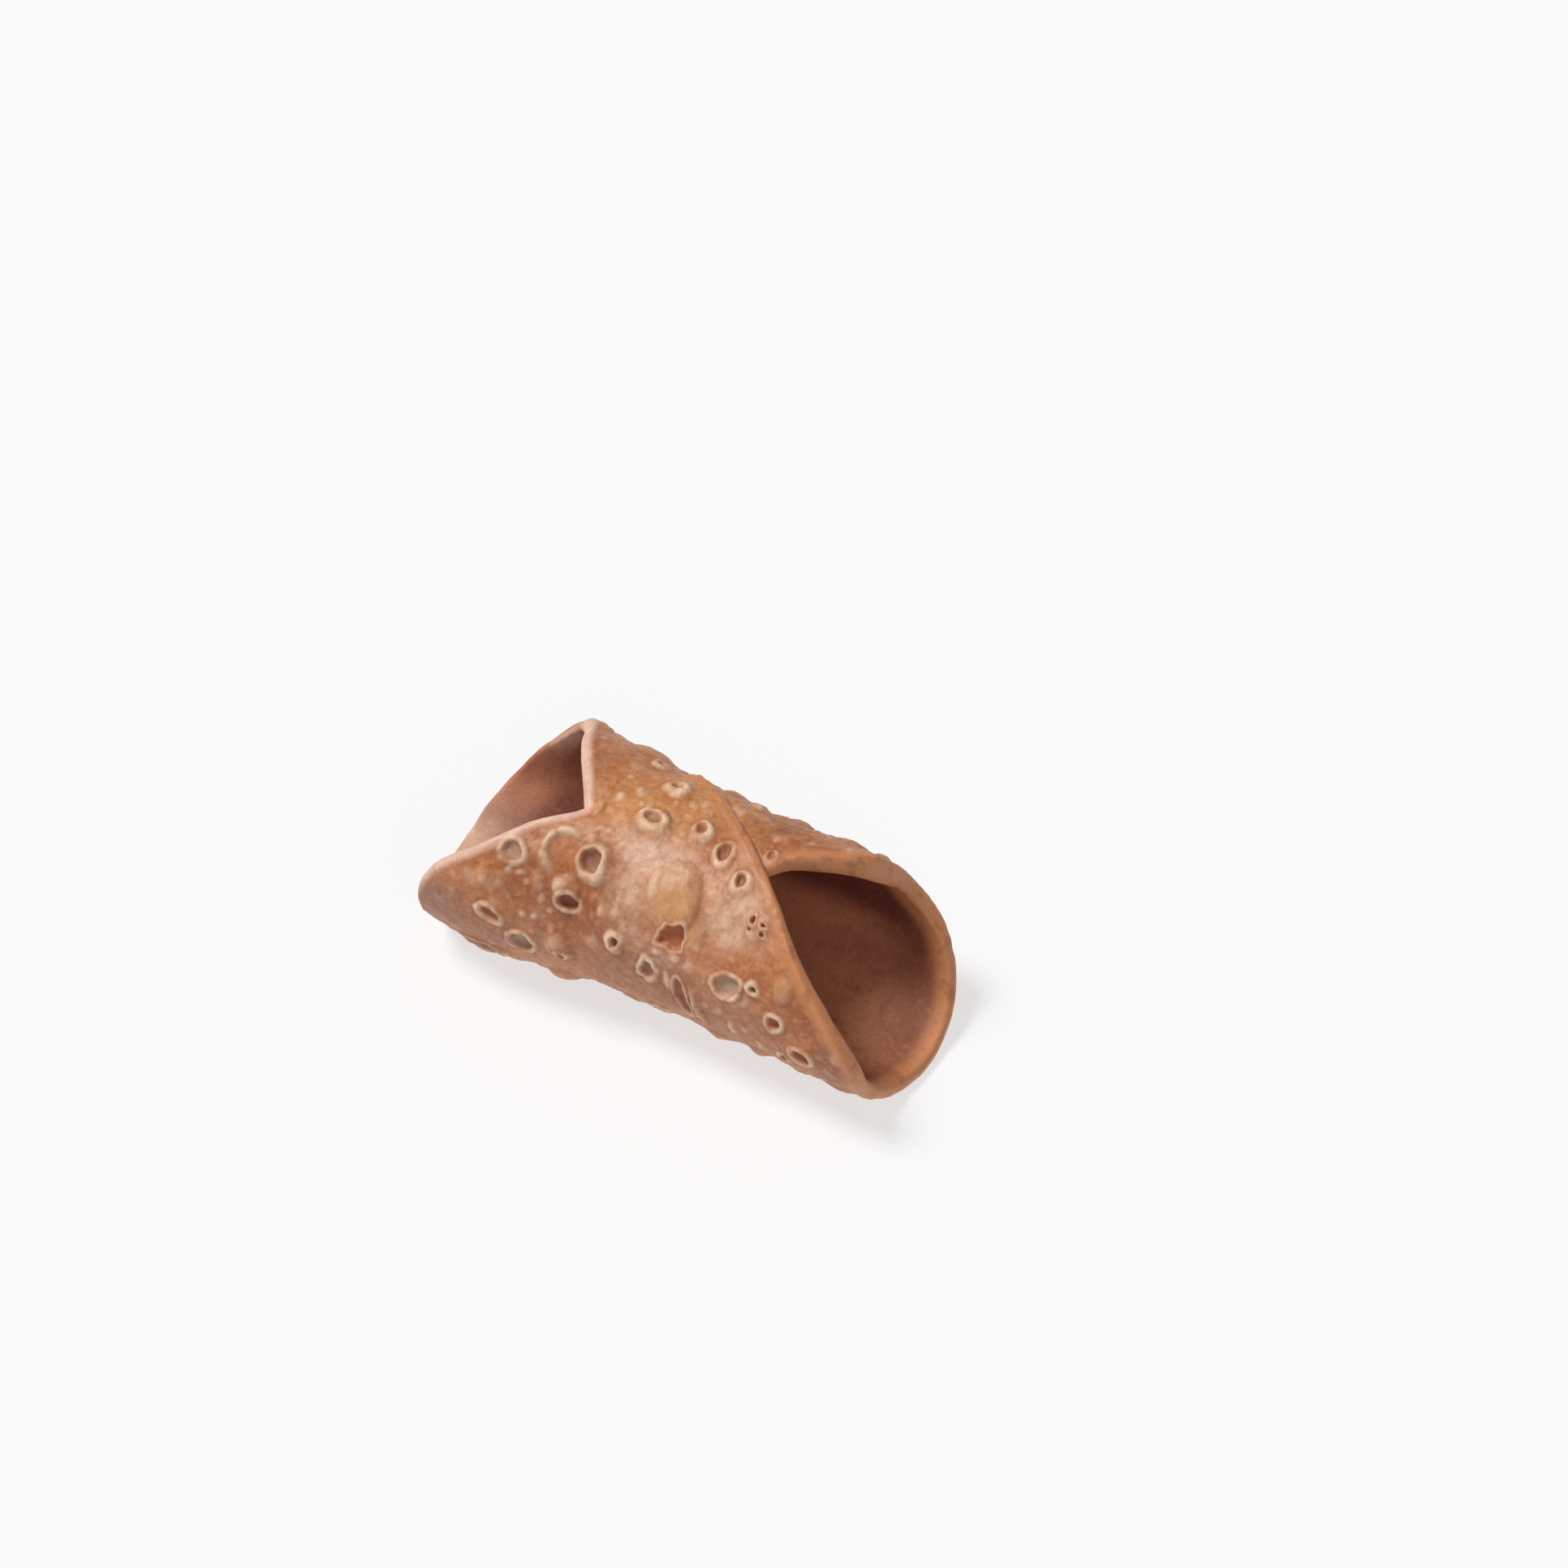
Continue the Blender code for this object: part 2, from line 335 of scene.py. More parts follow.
# Soft patches of colour: angle, along, half size round, half size along, strength.
patches = {
    # paler dough, and on the middle of the near side, where the light falls, a painted sheen
    "paleDoughAndSheen": [
        (66, -1, 10, 8, 0.9), (60, 18, 11, 6, 0.7), (45, 16, 10, 6, 0.7), (44, -3, 13, 5, 0.8),
        (27, -1, 12, 5, 0.4), (18, 6, 9, 4, 0.6), (47, -26, 7, 6, 0.5), (-150, 10, 30, 18, 0.7),
        (-200, -14, 24, 12, 0.6), (-95, -20, 22, 14, 0.5), (-120, 32, 20, 10, 0.5),
    ],
    "ochre": [
        (100, -6, 26, 10, 0.8), (78, -12, 14, 8, 0.6), (104, 8, 18, 10, 0.5), (50, 8, 10, 4, 0.7),
        (28, 30, 9, 4, 0.5), (40, 36, 14, 5, 0.4), (21, -30, 8, 6, 0.4), (-85, 6, 18, 12, 0.4),
        (-165, -28, 18, 12, 0.5), (-215, 12, 18, 14, 0.5), (145, -27, 20, 8, 1.0),
    ],
    "toast": [
        (25, -14, 13, 9, 0.9), (36, -20, 12, 7, 0.5), (20, 36, 13, 6, 0.8), (-5, 42, 22, 5, 0.8),
        (-5, 12, 10, 5, 0.5), (25, 27, 8, 4, 0.3), (112, 15, 20, 7, 0.6), (8, -15, 10, 8, 0.4),
        (64, 27, 9, 3, 0.3), (-140, -22, 18, 12, 0.7), (-80, 26, 16, 12, 0.7), (-205, 26, 16, 12, 0.5),
    ],
    # greyer dough, and low on the near side a painted reflection of the pale floor
    "greyDoughAndFloorReflection": [
        (0, -40, 16, 8, 0.9), (-8, -24, 11, 7, 0.7), (8, 24, 12, 8, 0.25), (-5, 18, 14, 12, 0.35),
        (12, 6, 14, 10, 0.4), (2, 0, 18, 8, 0.5), (-60, -10, 20, 16, 0.5), (-175, 20, 16, 12, 0.5),
    ],
}


def scatterBlisters():
    # the far side and underside get the same mix of blisters as the near side
    draw = random.Random(scatter["seed"])
    taken = [(dome[0], dome[1], max(dome[2], dome[3])) for dome in domes]
    taken += [(crater[0], crater[1], max(crater[2], crater[3]) + 1.0) for crater in craters]

    def distance(angle, along, other):
        turned = (angle - other[0] + 180.0) % 360.0 - 180.0
        return math.hypot(turned * scatter["perDegree"], along - other[1])

    made = 0
    for _ in range(scatter["tries"]):
        angle = draw.uniform(*scatter["farAngles"])
        along = draw.uniform(*scatter["farAlong"])
        size = 0.8 + 1.9 * draw.random() ** 1.6
        low = float(onCurve(sheet["left"], angle)) + size + scatter["fromRim"]
        high = float(onCurve(sheet["right"], angle)) - size - scatter["fromRim"]
        clear = all(distance(angle, along, other) > size + other[2] + scatter["apart"]
                    for other in taken)
        byFlap = angle + 360.0 < sheet["end"] + 9.0 and along < 6.0
        if byFlap or not (low < along < high and clear):
            continue
        around = size * draw.uniform(0.8, 1.3)
        turn = draw.uniform(-60.0, 60.0)
        height = draw.uniform(0.6, 1.2) * min(1.0, 0.4 + 0.3 * size)
        domes.append((angle, along, size * 1.6, around * 1.6, turn, height, 0.6 * draw.random()))
        if draw.random() < scatter["burst"]:
            craters.append((angle + draw.uniform(-2, 2), along + draw.uniform(-0.3, 0.3),
                            size * 0.8, around * 0.8, turn, 0.6 + 0.15 * size,
                            draw.uniform(0.25, 0.45), 0.3 + 0.25 * size, draw.random(),
                            draw.uniform(0.03, 0.08)))
        taken.append((angle, along, size * 1.5))
        made += 1
        if made == scatter["far"]:
            break


def scatterPimples():
    draw = random.Random(scatter["seed"] + 1)
    for _ in range(scatter["pimples"]):
        size = 0.8 + 1.0 * draw.random() ** 2
        bumps.append((draw.uniform(*scatter["pimpleAngles"]), draw.uniform(*scatter["pimpleAlong"]),
                      size, size * draw.uniform(0.8, 1.6), draw.uniform(-40, 40),
                      draw.uniform(0.08, 0.30)))


scatterBlisters()
scatterPimples()
print("blisters laid out:", len(domes), "domes,", len(craters), "craters,", len(bumps), "bumps")


def rowsAt(share, length):
    # how far along a row of cells lies; the outermost rows are as wide as the rim needs
    end = np.minimum(sheet["rimRow"], 0.3 * length)
    count = sheet["cellsAlong"]
    step = share * count
    middle = (length - 2.0 * end) * np.clip((step - 1.0) / (count - 2.0), 0.0, 1.0)
    return end * (np.clip(step, 0.0, 1.0) + np.clip(step - count + 1.0, 0.0, 1.0)) + middle


def buildSheet():
    bm = bmesh.new()
    bmesh.ops.create_grid(bm, x_segments=sheet["cellsAround"], y_segments=sheet["cellsAlong"],
                          size=0.5)
    turnLayer = bm.verts.layers.float.new("turn")
    sideLayer = bm.faces.layers.int.new("side")

    # the outer skin
    roundShare = np.array([vert.co.x + 0.5 for vert in bm.verts])
    lengthShare = np.array([vert.co.y + 0.5 for vert in bm.verts])
    bow = sheet["bow"] * (1.0 - (2.0 * lengthShare - 1.0) ** 2)
    angle = sheet["start"] - bow + (sheet["end"] - sheet["start"] + 2.0 * bow) * roundShare
    left = onCurve(sheet["left"], angle)
    right = onCurve(sheet["right"], angle)
    short = left + cutSlantAt(angle)
    outerAlong = short + rowsAt(lengthShare, right - short)
    innerAlong = left + rowsAt(lengthShare, right - left)
    outer = place(angle, outerAlong, outerRadiusAt(angle, outerAlong))
    inner = place(angle, innerAlong, innerRadiusAt(angle, innerAlong))
    for vert, spot, turn in zip(bm.verts, outer, angle):
        vert.co = spot
        vert[turnLayer] = turn
    bm.normal_update()
    if sum(face.normal.y * face.calc_center_median().y for face in bm.faces) < 0.0:
        bmesh.ops.reverse_faces(bm, faces=bm.faces[:])

    # the inner skin, joined to the outer one all round by a rounded rim
    copied = bmesh.ops.duplicate(bm, geom=bm.verts[:] + bm.edges[:] + bm.faces[:])
    innerVerts = [item for item in copied["geom"] if isinstance(item, bmesh.types.BMVert)]
    innerFaces = [item for item in copied["geom"] if isinstance(item, bmesh.types.BMFace)]
    for vert, spot in zip(innerVerts, inner):
        vert.co = spot
    for face in innerFaces:
        face[sideLayer] = 1
    bmesh.ops.reverse_faces(bm, faces=innerFaces)
    rimEdges = [edge for edge in bm.edges if edge.is_boundary]
    bridge = bmesh.ops.bridge_loops(bm, edges=rimEdges)
    for face in bridge["faces"]:
        face[sideLayer] = 2
    bmesh.ops.bevel(bm, geom=rimEdges, offset=sheet["rimShare"], offset_type="PERCENT",
                    segments=sheet["rimSteps"], profile=0.5, affect="EDGES", material=-1,
                    clamp_overlap=False)
    return bm


def spotsOf(points):
    # angle round the tube and millimetres along it, for points in metres
    points = np.array(points) / mm
    height = points[:, 2] - sheet["radius"] + sheet["flat"]
    return np.degrees(np.arctan2(height, -points[:, 1])), points[:, 0] - sheet["middle"]


def offsetsFrom(blister, angle, along):
    # distance from a blister's middle in its own half lengths, lengthwise and round
    across = ((angle - blister[0] + 180.0) % 360.0 - 180.0) * math.radians(sheet["radius"])
    length = along - blister[1]
    turn = math.radians(blister[4])
    lengthwise = (length * math.cos(turn) + across * math.sin(turn)) / blister[2]
    crosswise = (across * math.cos(turn) - length * math.sin(turn)) / blister[3]
    return lengthwise, crosswise


def reachOf(blister, angle, along, uneven=0.0, index=0):
    # how far out a place lies: as a share of the outline, and in mm beyond the outline
    lengthwise, crosswise = offsetsFrom(blister, angle, along)
    bearing = np.arctan2(crosswise, lengthwise)
    wave = (np.sin(2.0 * bearing + index * 1.7) + 0.8 * np.sin(3.0 * bearing + index * 2.9)
            + 0.3 * np.sin(5.0 * bearing + index * 4.1))
    torn = np.sin(7.0 * bearing + index) + np.sin(4.0 * bearing + index * 2.3)
    wave = wave + torn * min(1.0, max(0.0, uneven * 12.0 - 0.7))
    plain = np.hypot(lengthwise, crosswise)
    share = plain * (1.0 + uneven * wave)
    slope = np.maximum(np.hypot(lengthwise / blister[2], crosswise / blister[3]), 1e-6)
    return share, (share - 1.0) * np.maximum(plain, 1e-6) / slope


def nearCraters(chosen, inside, outside, angle, along):
    # which places lie within a band round the edges of the chosen craters
    near = np.zeros(len(angle), bool)
    for crater in chosen:
        away = reachOf(crater, angle, along)[1]
        near |= (away > -inside) & (away < outside + crater[5])
    return near


# Where the cells are halved: the sides that show most, and bands round the burst blisters,
# in mm inside and outside their edges.
fineCells = {
    "fromNear": -40.0,
    "toFar": -213.0,
    "allBand": (0.6, 0.2),
    "nearBand": (0.5, 0.35),
}


def facesViewer(angle, along):
    shows = (angle > fineCells["fromNear"]) | (angle < fineCells["toFar"])
    return shows & ~deepUnder(angle, along)


def refine(bm, keep):
    # halves the cells of the outer skin that keep picks
    side = bm.faces.layers.int["side"]
    turn = bm.verts.layers.float["turn"]
    faces = [face for face in bm.faces if face[side] == 0 and len(face.verts) == 4]
    angle, along = spotsOf([face.calc_center_median() for face in faces])
    own = np.array([face.verts[0][turn] for face in faces])
    picked = keep(angle + 360.0 * np.round((own - angle) / 360.0), along)
    edges = {edge for face, pick in zip(faces, picked) if pick for edge in face.edges}
    bmesh.ops.subdivide_edges(bm, edges=list(edges), cuts=1, use_grid_fill=True)


def spotsNear(blister, angle, along, spare):
    # the places within a blister's outline and the given millimetres beyond it
    lengthwise, crosswise = offsetsFrom(blister, angle, along)
    return np.flatnonzero((np.abs(lengthwise) < 1.3 + spare / blister[2])
                          & (np.abs(crosswise) < 1.3 + spare / blister[3]))


def crustRelief(angle, along):
    # height in mm and masks for the finish, at each place on the outer skin
    names = ("height", "ring", "pit", "tone", "dome", "bump", "footShadeAndBrowning")
    masks = {name: np.zeros(len(angle)) for name in names}

    def atLeast(name, near, values):
        masks[name][near] = np.maximum(masks[name][near], values)

    for index, dome in enumerate(domes):
        near = spotsNear(dome, angle, along, 1.5)
        share, away = reachOf(dome, angle[near], along[near], 0.04, index)
        swell = np.clip(1.0 - share**2, 0.0, 1.0)
        blunt = 0.95 if max(dome[2], dome[3]) < 5.0 else 0.80
        masks["height"][near] += dome[5] * swell**blunt
        atLeast("dome", near, dome[6] * ease(0.0, 0.9, swell))
        # painted shade, with some browning, round each dome's foot, darkest on its lower right
        lengthwise, crosswise = offsetsFrom(dome, angle[near], along[near])
        shaded = np.cos(np.arctan2(crosswise, lengthwise) + 0.9)
        shaded = np.clip(0.35 + 0.65 * shaded, 0.0, 1.0)
        atLeast("footShadeAndBrowning", near, 0.8 * min(1.0, dome[5]) * shaded * bell(0.15, 0.7, away))
    for index, bump in enumerate(bumps):
        near = spotsNear(bump, angle, along, 0.0)
        share = reachOf(bump, angle[near], along[near], 0.05, index)[0]
        swell = np.clip(1.0 - share**2, 0.0, 1.0)
        masks["height"][near] += bump[5] * swell**1.6
        atLeast("bump", near, ease(0.0, 1.0, swell) * min(1.0, bump[5] * 2.2))
    for welt in welts:
        near = spotsNear(welt, angle, along, 3.0)
        lengthwise, crosswise = offsetsFrom(welt, angle[near], along[near])
        away = reachOf(welt, angle[near], along[near])[1]
        bearing = np.degrees(np.arctan2(crosswise, lengthwise))
        bearing = (bearing - welt[7] + 180.0) % 360.0 - 180.0
        ridge = bell(0.0, welt[5], away) * ease(welt[8], 0.5 * welt[8], np.abs(bearing))
        masks["height"][near] += welt[6] * ridge
        # painted highlight: the ridge is painted cream
        atLeast("ring", near, 0.95 * ridge)
    for index, crater in enumerate(craters):
        rim, height, depth, tone, uneven = crater[5:10]
        near = spotsNear(crater, angle, along, 2.6 * rim)
        share, away = reachOf(crater, angle[near], along[near], uneven, index)
        lengthwise, crosswise = offsetsFrom(crater, angle[near], along[near])
        bearing = np.arctan2(crosswise, lengthwise)
        # rims high on the tube are wider below and keep their cream mainly on the lower side, a
        # painted highlight
        lower = np.cos(bearing + 1.2) * ease(32.0, 60.0, crater[0])
        patchy = 0.78 + 0.22 * np.sin(bearing + index * 2.1)
        wide = rim * (1.0 + 0.35 * lower)
        wall = min(0.65, 0.55 * min(crater[2], crater[3]))
        pit = ease(0.05, -wall, away)
        floor = -depth * (0.6 + 0.4 * np.clip(1.0 - share**2, 0.0, 1.0))
        ridge = np.clip(1.0 - ((away - 0.42 * wide) / (0.95 * wide)) ** 2, 0.0, 1.0) ** 1.5
        level = masks["height"][near] + height * ridge * (0.55 + 0.5 * patchy)
        masks["height"][near] = level + (floor - level) * pit
        light = min(1.0, 0.45 + 1.4 * height) * min(1.0, rim / 0.55)
        # the rim's cream fades on its upper side: painted highlight below, painted shade above
        light = light * patchy * (1.0 - 0.6 * np.clip(-lower, 0.0, 1.0))
        atLeast("ring", near, ridge**0.8 * light)
        masks["ring"][near] *= 1.0 - 0.9 * ease(-0.1, -wall, away)
        atLeast("pit", near, ease(-0.05, -wall, away))
        atLeast("tone", near, tone * (pit > 0.0))
        # painted shade, with some browning, round the foot of each rim
        atLeast("footShadeAndBrowning", near, 0.6 * bell(1.5 * wide, 0.5 * wide, away))
        masks["dome"][near] *= 1.0 - pit
        masks["bump"][near] *= 1.0 - pit
    return masks


def patchMask(kind, angle, along):
    mask = np.zeros(len(angle))
    for patchAngle, patchAlong, halfRound, halfLength, strength in patches[kind]:
        turned = (angle - patchAngle + 180.0) % 360.0 - 180.0
        mask += strength * bell(0.0, halfRound, turned) * bell(patchAlong, halfLength, along)
    return mask


# Waves in the dough: their width in mm, their height in mm, and a shift that keeps them apart.
waves = {
    "broad": (16.0, 0.35, 0.0),
    "ripple": (3.2, 0.17, 5.0),
    "grit": (1.3, 0.07, 3.0),
    "leftRim": (10.0, 0.35, 9.0),
    "rightRim": (16.0, 0.2, 9.0),
    "rightNicks": (4.0, 0.16, 2.0),
}


def waviness(points, kind):
    width, depth, shift = waves[kind]
    return np.array([noise.fractal(point / (width * mm) + Vector((shift, 0, 0)), 0.7, 2.0, 3)
                     for point in points]) * depth


def fillAttribute(mesh, name, values):
    layer = mesh.attributes.new(name, "FLOAT", "POINT")
    layer.data.foreach_set("value", np.clip(values, 0.0, 1.0).astype(np.float32))


def markOutside(mesh, masks, shown):
    # where blisters, holes and bumps show on the outer skin, with the painted shade at their foot
    for name in ("ring", "pit", "tone", "dome", "bump", "footShadeAndBrowning"):
        fillAttribute(mesh, name, masks[name] * shown)


# How the inside and the rims change colour, as a start and an end, or a middle and a width:
# millimetres in from a rim, degrees round the tube, or a share of the wall's thickness.
# The inside's lighter and darker stretches are painted light and painted shade.
shades = {
    "inner": (0.12, 0.5),
    "cutLower": (-8.0, 14.0),
    "cutLowerEnd": (80.0, 74.0),
    "cutUpper": (-205.0, -226.0),
    "cutWidth": 1.9,
    "cutFull": 0.5,
    "rimOutside": (3.6, 0.6),
    "rimInside": 4.8,
    "rimFade": 3.2,
    "rimWider": (-190.0, 35.0),
    "paintedLightLeftRimIn": (12.0, 1.0),
    "paintedLightLeftRimRound": (-104.0, 31.0),
    "paintedLightApexIn": (5.0, 0.8),
    "paintedLightApexRound": (-194.0, 16.0),
    "edgeIn": (6.0, 0.5),
    "edgeRound": (-185.0, 34.0),
    "rightHalf": (30.0, 45.0),
    "paintedShadeLeftRound": (-92.0, -130.0),
    "paintedShadeRightRound": (-146.0, -170.0),
    "paintedShadeRightIn": (3.0, 8.0),
    "paintedShadeLeftIn": (0.5, 6.0),
    "paintedLightRightRound": (-172.0, -146.0),
    "paintedLightRightIn": (6.0, 19.0),
    "paintedLightDipRound": (-140.0, 14.0),
    "paintedLightDipAlong": (30.0, 10.0),
    "paintedLightNearRound": (-76.0, 16.0),
    "paintedLightNearIn": (2.0, 7.0),
    "paintedLightLeftLowIn": (11.5, 4.0),
    "paintedLightLeftLowRound": (-147.0, 16.0),
    "deepLeft": (1.0, 13.0),
    "deepRight": (2.0, 18.0),
}


def markRims(mesh, angle, skin, fromLeft, fromRight):
    slant = cutSlantAt(angle)
    lower = ease(*shades["cutLower"], angle) * ease(*shades["cutLowerEnd"], angle)
    upper = ease(*shades["cutUpper"], angle)
    band = ease(slant + shades["cutWidth"], slant + shades["cutFull"], fromLeft)
    fillAttribute(mesh, "cutLeft", band * (lower + upper))
    wide = shades["rimInside"] + 1.6 * bell(*shades["rimWider"], angle)
    outside = ease(*shades["rimOutside"], fromRight)
    within = ease(wide, wide - shades["rimFade"], fromRight)
    fillAttribute(mesh, "cutRight", np.where(skin > 0.5, outside, within))


def markInside(mesh, angle, along, skin, fromLeft, fromRight):
    # painted light and painted shade: lighter and darker stretches of the tube's inside
    fillAttribute(mesh, "inside", 1.0 - ease(*shades["inner"], skin))
    # painted light: pale inside by the left rim, low on the far side and at the flap's apex
    paintedLightLeftRim = ease(*shades["paintedLightLeftRimIn"], fromLeft) * bell(*shades["paintedLightLeftRimRound"], angle)
    paintedLightApex = ease(*shades["paintedLightApexIn"], fromLeft) * bell(*shades["paintedLightApexRound"], angle)
    fillAttribute(mesh, "paintedLightLeftRim", paintedLightLeftRim + paintedLightApex)
    fillAttribute(mesh, "edge", ease(*shades["edgeIn"], fromLeft) * bell(*shades["edgeRound"], angle))
    rightward = ease(*shades["rightHalf"], fromLeft)
    # painted shade in the inside's far corners, towards both ends
    paintedShade = 0.75 * (1.0 - rightward) * ease(*shades["paintedShadeLeftRound"], angle)
    farWall = ease(*shades["paintedShadeRightRound"], angle) * ease(*shades["paintedShadeRightIn"], fromRight)
    paintedShade = paintedShade + rightward * farWall
    fillAttribute(mesh, "paintedShadeAndMottle", ease(*shades["paintedShadeLeftIn"], fromLeft) * paintedShade)
    # painted light on the far inside seen through the right end, less of it in one hollow, more by the
    # right rim on the near side
    paintedLightDip = bell(*shades["paintedLightDipRound"], angle) * bell(*shades["paintedLightDipAlong"], along)
    insidePaintedLight = ease(*shades["paintedLightRightRound"], angle) * ease(*shades["paintedLightRightIn"], fromRight)
    insidePaintedLight = insidePaintedLight * (1.0 - 0.6 * paintedLightDip)
    insidePaintedLight = insidePaintedLight + 0.5 * bell(*shades["paintedLightNearRound"], angle) * ease(*shades["paintedLightNearIn"], fromRight)
    # painted light by the left rim, low on the far side
    paintedLightLeftLow = 0.75 * ease(*shades["paintedLightLeftLowIn"], fromLeft) * bell(*shades["paintedLightLeftLowRound"], angle)
    fillAttribute(mesh, "insidePaintedLight", rightward * insidePaintedLight + paintedLightLeftLow)
    deep = ease(*shades["deepLeft"], fromLeft) * ease(*shades["deepRight"], fromRight)
    fillAttribute(mesh, "deep", deep)


def shapeSkin(mesh):
    # raises the blisters and waves, and stores what the finish needs
    count = len(mesh.vertices)
    points = np.empty(count * 3)
    mesh.vertices.foreach_get("co", points)
    points = points.reshape(-1, 3)
    turn = np.empty(count)
    mesh.attributes["turn"].data.foreach_get("value", turn)
    angle, along = spotsOf(points)
    angle = angle + 360.0 * np.round((turn - angle) / 360.0)
    reach = np.hypot(points[:, 1], points[:, 2] - (sheet["radius"] - sheet["flat"]) * mm) / mm
    outward = outerRadiusAt(angle, along)
    inward = innerRadiusAt(angle, along)
    skin = np.clip((reach - inward) / (outward - inward), 0.0, 1.0)   # 1 outside, 0 inside

    bare = 1.0 - coveredAt(angle, along)
    outer = ease(0.45, 0.8, skin) * bare
    fromLeft = fromEdge("left", angle, along)
    fromRight = fromEdge("right", angle, along)
    masks = crustRelief(angle, along)
    vectors = [Vector(point) for point in points]
    swells = waviness(vectors, "broad") + (waviness(vectors, "ripple") + waviness(vectors, "grit"))
    lap = ease(40.0, 75.0, angle) + ease(-212.0, -240.0, angle)
    calm = 1.0 - 0.9 * np.clip(lap, 0.0, 1.0) * (1.0 - outer)
    height = masks["height"] * outer + swells * calm
    shove = np.radians(angle)
    radial = np.stack([np.zeros(count), -np.cos(shove), np.sin(shove)], -1)
    points = points + radial * (height * mm)[:, None]
    rough = ease(4.0, 0.0, fromLeft) * waviness(vectors, "leftRim")
    rough += ease(5.0, 0.0, fromRight) * waviness(vectors, "rightRim")
    rough += ease(3.0, 0.0, fromRight) * waviness(vectors, "rightNicks")
    points[:, 0] += rough * mm
    points[:, 2] = np.maximum(points[:, 2], 0.0)
    mesh.vertices.foreach_set("co", points.ravel())

    markOutside(mesh, masks, ease(0.35, 0.6, skin) * bare)
    for kind in patches:
        fillAttribute(mesh, kind, patchMask(kind, angle, along))
    markRims(mesh, angle, skin, fromLeft, fromRight)
    markInside(mesh, angle, along, skin, fromLeft, fromRight)
    mesh.update()


class Value:
    # one socket, so that shader maths can be written as plain expressions
    def __init__(self, tree, socket):
        self.tree = tree
        self.socket = socket

    def math(self, operation, first, second):
        node = self.tree.nodes.new("ShaderNodeMath")
        node.operation = operation
        plug(self.tree, node.inputs[0], first)
        plug(self.tree, node.inputs[1], second)
        return Value(self.tree, node.outputs[0])

    def __add__(self, other):
        return self.math("ADD", self, other)

    def __sub__(self, other):
        return self.math("SUBTRACT", self, other)

    def __mul__(self, other):
        return self.math("MULTIPLY", self, other)

    def __rsub__(self, other):
        return self.math("SUBTRACT", other, self)

    __radd__ = __add__
    __rmul__ = __mul__

    def limited(self):
        # held between 0 and 1
        raised = self.math("MAXIMUM", self, 0.0)
        return self.math("MINIMUM", raised, 1.0)


def plug(tree, socket, value):
    if isinstance(value, Value):
        tree.links.new(value.socket, socket)
    else:
        socket.default_value = value


class Finish:
    # a node material under construction
    def __init__(self, name):
        self.material = bpy.data.materials.new(name)
        self.material.use_nodes = True
        self.tree = self.material.node_tree
        self.tree.nodes.clear()

    def add(self, kind, settings=None, sockets=None, out=0):
        node = self.tree.nodes.new(kind)
        for name, value in (settings or {}).items():
            setattr(node, name, value)
        for name, value in (sockets or {}).items():
            plug(self.tree, node.inputs[name], value)
        return Value(self.tree, node.outputs[out]) if node.outputs else None

    def attribute(self, name):
        return self.add("ShaderNodeAttribute", {"attribute_name": name}, out="Fac")

    def mix(self, factor, first, second):
        return self.add("ShaderNodeMix", {"data_type": "RGBA", "clamp_factor": True},
                        {0: factor, 6: first, 7: second}, out=2)

    def step(self, value, low, high):
        # smooth step from 0 at low to 1 at high
        return self.add("ShaderNodeMapRange", {"interpolation_type": "SMOOTHSTEP"},
                        {0: value, 1: low, 2: high, 3: 0.0, 4: 1.0})

    def shade(self, color, amount):
        grey = self.add("ShaderNodeCombineXYZ", None, {0: amount, 1: amount, 2: amount})
        return self.add("ShaderNodeVectorMath", {"operation": "MULTIPLY"}, {0: color, 1: grey})


def paint(red, green, blue):
    # a colour from 0 to 255, as it looks on a screen
    def linear(part):
        part = part / 255.0
        return part / 12.92 if part <= 0.04045 else ((part + 0.055) / 1.055) ** 2.4
    return linear(red), linear(green), linear(blue), 1.0


crustFinish = {
    "base": paint(183, 113, 68),
    # paler dough, and a painted sheen on the near side's middle
    "paleDoughAndSheen": paint(216, 173, 145),
    "ochre": paint(200, 133, 72),
    "toast": paint(142, 74, 42),
    # greyer dough, and a painted reflection of the pale floor low on the near side
    "greyDoughAndFloorReflection": paint(150, 107, 83),
    "speck": paint(118, 58, 36),
    "fleck": paint(212, 166, 134),
    "cream": paint(236, 205, 174),
    "dome": paint(214, 164, 115),
    "bump": paint(228, 190, 160),
    # painted shade, with some browning, at the foot of domes and rims
    "footShadeAndBrowning": paint(142, 80, 45),
    "floorPale": paint(182, 146, 121),
    "floorBrown": paint(152, 96, 66),
    "floorRed": paint(182, 102, 64),
    "cutLeft": paint(232, 190, 168),
    "cutRight": paint(205, 135, 87),
    "insideDark": paint(150, 88, 64),
    "insideBrown": paint(142, 84, 57),
    # painted light on the inside
    "insidePaintedLightColor": paint(214, 140, 101),
    # pale freckles inside, and the painted light by the left rim
    "insidePaleAndPaintedLight": paint(218, 172, 146),
    "insideEdge": paint(158, 90, 56),
    # painted shade inside the tube, also the colour of its dark mottles
    "paintedShadeAndMottle": paint(106, 50, 39),
}


# Noise in the crust: its size in mm, detail, roughness, and a shift that keeps them apart.
grains = {
    "cloud": (12.0, 2.0, 0.5, 0.0),
    "mottle": (3.4, 3.0, 0.6, 1.0),
    "grain": (1.2, 3.0, 0.65, 2.0),
    "fine": (0.4, 2.0, 0.6, 3.0),
    "break": (2.0, 1.0, 0.5, 4.0),
    "freckle": (1.1, 1.0, 0.4, 6.0),
}


